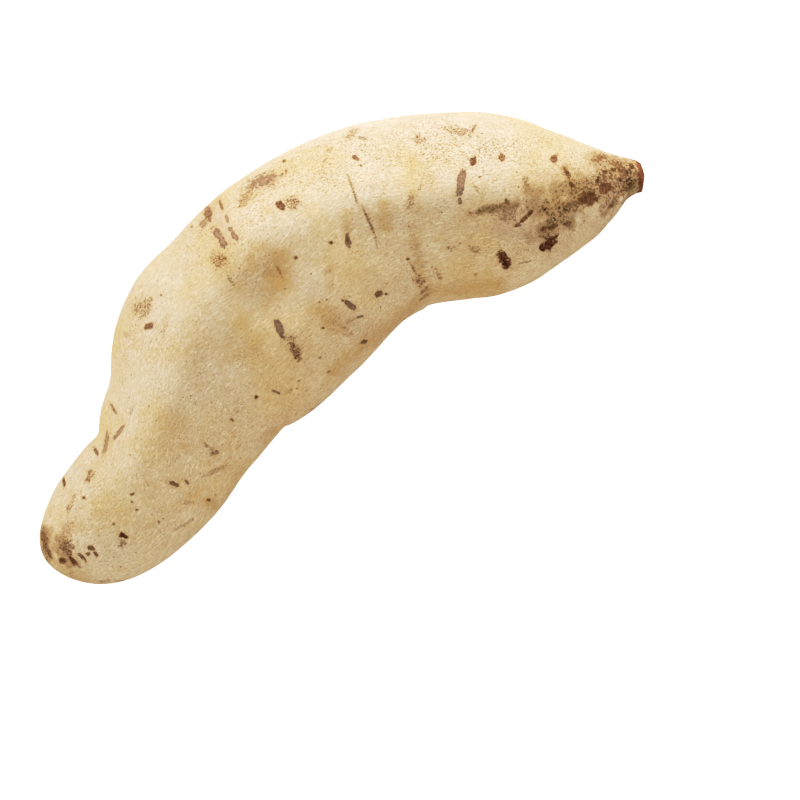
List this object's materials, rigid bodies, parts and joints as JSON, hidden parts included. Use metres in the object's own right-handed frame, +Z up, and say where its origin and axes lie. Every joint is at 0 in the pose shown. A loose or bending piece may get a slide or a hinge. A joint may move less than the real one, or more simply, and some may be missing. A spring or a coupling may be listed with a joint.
{
  "type": "sweet potato",
  "caption": "White-skinned sweet potato, a bent spindle with a blunt end, a narrow neck, a thick arched body and a cut stalk end, lying on its side.",
  "frame": {"origin": "middle of the root's box, on the surface that it lies on", "axes": "+X from the blunt end to the cut stalk end, +Y towards the outside of the bend, +Z up from the surface"},
  "size_m": [0.2154, 0.0866, 0.0611],
  "materials": {
    "skin": "dry pale straw-coloured skin with a faint waxy sheen, ochre stains and small brown scars"
  },
  "bodies": {
    "root": {"sweet_potato": "skin"}
  },
  "joints": []
}
